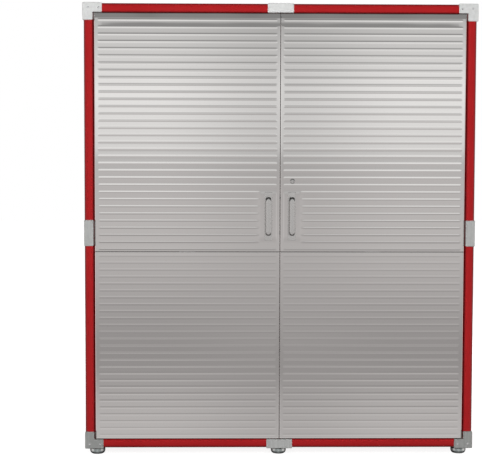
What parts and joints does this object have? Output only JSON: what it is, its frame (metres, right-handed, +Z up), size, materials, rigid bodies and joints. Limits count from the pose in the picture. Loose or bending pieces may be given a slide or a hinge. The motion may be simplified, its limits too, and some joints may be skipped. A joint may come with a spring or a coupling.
{
  "type": "storage cabinet",
  "caption": "Tall steel storage cabinet: ribbed stainless double doors in a red tubular frame with silver corner caps, bar pulls, key lock, lift-out shelves and levelling feet.",
  "frame": {"origin": "on the floor, under the middle of the cabinet's overall box", "axes": "+Z up, the doors face -Y, +X to the right as seen from the front"},
  "size_m": [1.684, 0.64, 1.952],
  "materials": {
    "red_powder_coat": "semi-gloss red powder coat with a fine orange peel",
    "door_steel": "bright ribbed stainless sheet with a faint level grain",
    "handle_steel": "satin steel, brushed along its length",
    "silver_casting": "satin silver die casting",
    "silver_grey_paint": "satin silver-grey powder coat",
    "zinc_steel": "bright zinc plating",
    "foot_steel": "turned and plated steel",
    "dark_plastic": "matt dark moulding"
  },
  "bodies": {
    "carcass": {"left_side_panel": "red_powder_coat", "right_side_panel": "red_powder_coat", "top_panel": "red_powder_coat", "floor_pan": "red_powder_coat", "back_panel_left": "red_powder_coat", "back_panel_right": "red_powder_coat", "center_divider": "red_powder_coat", "top_rail_left": "red_powder_coat", "top_rail_right": "red_powder_coat", "bottom_rail_left": "red_powder_coat", "bottom_rail_right": "red_powder_coat", "left_stile_upper": "red_powder_coat", "left_stile_lower": "red_powder_coat", "right_stile_upper": "red_powder_coat", "right_stile_lower": "red_powder_coat", "corner_cap_top_left": "silver_casting", "corner_cap_top_right": "silver_casting", "corner_cap_bottom_left": "silver_casting", "corner_cap_bottom_right": "silver_casting", "rail_clips": "silver_casting", "panel_screws": "zinc_steel", "shelf_standards": "zinc_steel", "shelf_clips": "zinc_steel", "hinge_bushes": "dark_plastic", "magnetic_catches": "dark_plastic", "lock_keeper": "zinc_steel", "foot_brackets": "zinc_steel"},
    "foot_front_left": {"foot_front_left": "foot_steel"},
    "foot_front_center": {"foot_front_center": "foot_steel"},
    "foot_front_right": {"foot_front_right": "foot_steel"},
    "foot_rear_left": {"foot_rear_left": "foot_steel"},
    "foot_rear_center": {"foot_rear_center": "foot_steel"},
    "foot_rear_right": {"foot_rear_right": "foot_steel"},
    "shelf_left_1": {"shelf_left_1": "silver_grey_paint"},
    "shelf_left_2": {"shelf_left_2": "silver_grey_paint"},
    "shelf_left_3": {"shelf_left_3": "silver_grey_paint"},
    "shelf_right_1": {"shelf_right_1": "silver_grey_paint"},
    "shelf_right_2": {"shelf_right_2": "silver_grey_paint"},
    "shelf_right_3": {"shelf_right_3": "silver_grey_paint"},
    "left_door": {"left_door_pan": "silver_grey_paint", "left_door_skin_upper": "door_steel", "left_door_skin_lower": "door_steel", "left_door_stiffener": "zinc_steel", "left_hinge_pivots": "zinc_steel", "left_handle_plate": "handle_steel", "left_handle": "handle_steel", "left_handle_screws": "zinc_steel"},
    "right_door": {"right_door_pan": "silver_grey_paint", "right_door_skin_upper": "door_steel", "right_door_skin_lower": "door_steel", "right_door_stiffener": "zinc_steel", "right_hinge_pivots": "zinc_steel", "right_handle_plate": "handle_steel", "right_handle": "handle_steel", "right_handle_screws": "zinc_steel", "lock_housing": "handle_steel"},
    "left_bolt_top": {"left_bolt_top": "zinc_steel"},
    "left_bolt_bottom": {"left_bolt_bottom": "zinc_steel"},
    "lock": {"lock_plug": "zinc_steel", "lock_cam": "zinc_steel"}
  },
  "joints": [
    {"name": "left_door_swing", "type": "hinge", "parent": "carcass", "child": "left_door", "pos_m": [-0.783, -0.275, 0.993], "axis": [0, 0, -1], "range_deg": [0, 100]},
    {"name": "right_door_swing", "type": "hinge", "parent": "carcass", "child": "right_door", "pos_m": [0.783, -0.275, 0.993], "axis": [0, 0, 1], "range_deg": [0, 100]},
    {"name": "lock_turn", "type": "hinge", "parent": "right_door", "child": "lock", "pos_m": [0.053, -0.27, 1.193], "axis": [0, 1, 0], "range_deg": [0, 90]},
    {"name": "left_bolt_top_slide", "type": "slide", "parent": "left_door", "child": "left_bolt_top", "axis": [0, 0, 1], "range_m": [0, 0.014]},
    {"name": "left_bolt_bottom_slide", "type": "slide", "parent": "left_door", "child": "left_bolt_bottom", "axis": [0, 0, -1], "range_m": [0, 0.014]},
    {"name": "shelf_left_1_lift", "type": "slide", "parent": "carcass", "child": "shelf_left_1", "axis": [0, 0, 1], "range_m": [0, 0.1]},
    {"name": "shelf_left_2_lift", "type": "slide", "parent": "carcass", "child": "shelf_left_2", "axis": [0, 0, 1], "range_m": [0, 0.1]},
    {"name": "shelf_left_3_lift", "type": "slide", "parent": "carcass", "child": "shelf_left_3", "axis": [0, 0, 1], "range_m": [0, 0.1]},
    {"name": "shelf_right_1_lift", "type": "slide", "parent": "carcass", "child": "shelf_right_1", "axis": [0, 0, 1], "range_m": [0, 0.1]},
    {"name": "shelf_right_2_lift", "type": "slide", "parent": "carcass", "child": "shelf_right_2", "axis": [0, 0, 1], "range_m": [0, 0.1]},
    {"name": "shelf_right_3_lift", "type": "slide", "parent": "carcass", "child": "shelf_right_3", "axis": [0, 0, 1], "range_m": [0, 0.1]},
    {"name": "foot_front_left_level", "type": "slide", "parent": "carcass", "child": "foot_front_left", "axis": [0, 0, -1], "range_m": [0, 0.02]},
    {"name": "foot_front_center_level", "type": "slide", "parent": "carcass", "child": "foot_front_center", "axis": [0, 0, -1], "range_m": [0, 0.02]},
    {"name": "foot_front_right_level", "type": "slide", "parent": "carcass", "child": "foot_front_right", "axis": [0, 0, -1], "range_m": [0, 0.02]},
    {"name": "foot_rear_left_level", "type": "slide", "parent": "carcass", "child": "foot_rear_left", "axis": [0, 0, -1], "range_m": [0, 0.02]},
    {"name": "foot_rear_center_level", "type": "slide", "parent": "carcass", "child": "foot_rear_center", "axis": [0, 0, -1], "range_m": [0, 0.02]},
    {"name": "foot_rear_right_level", "type": "slide", "parent": "carcass", "child": "foot_rear_right", "axis": [0, 0, -1], "range_m": [0, 0.02]}
  ]
}
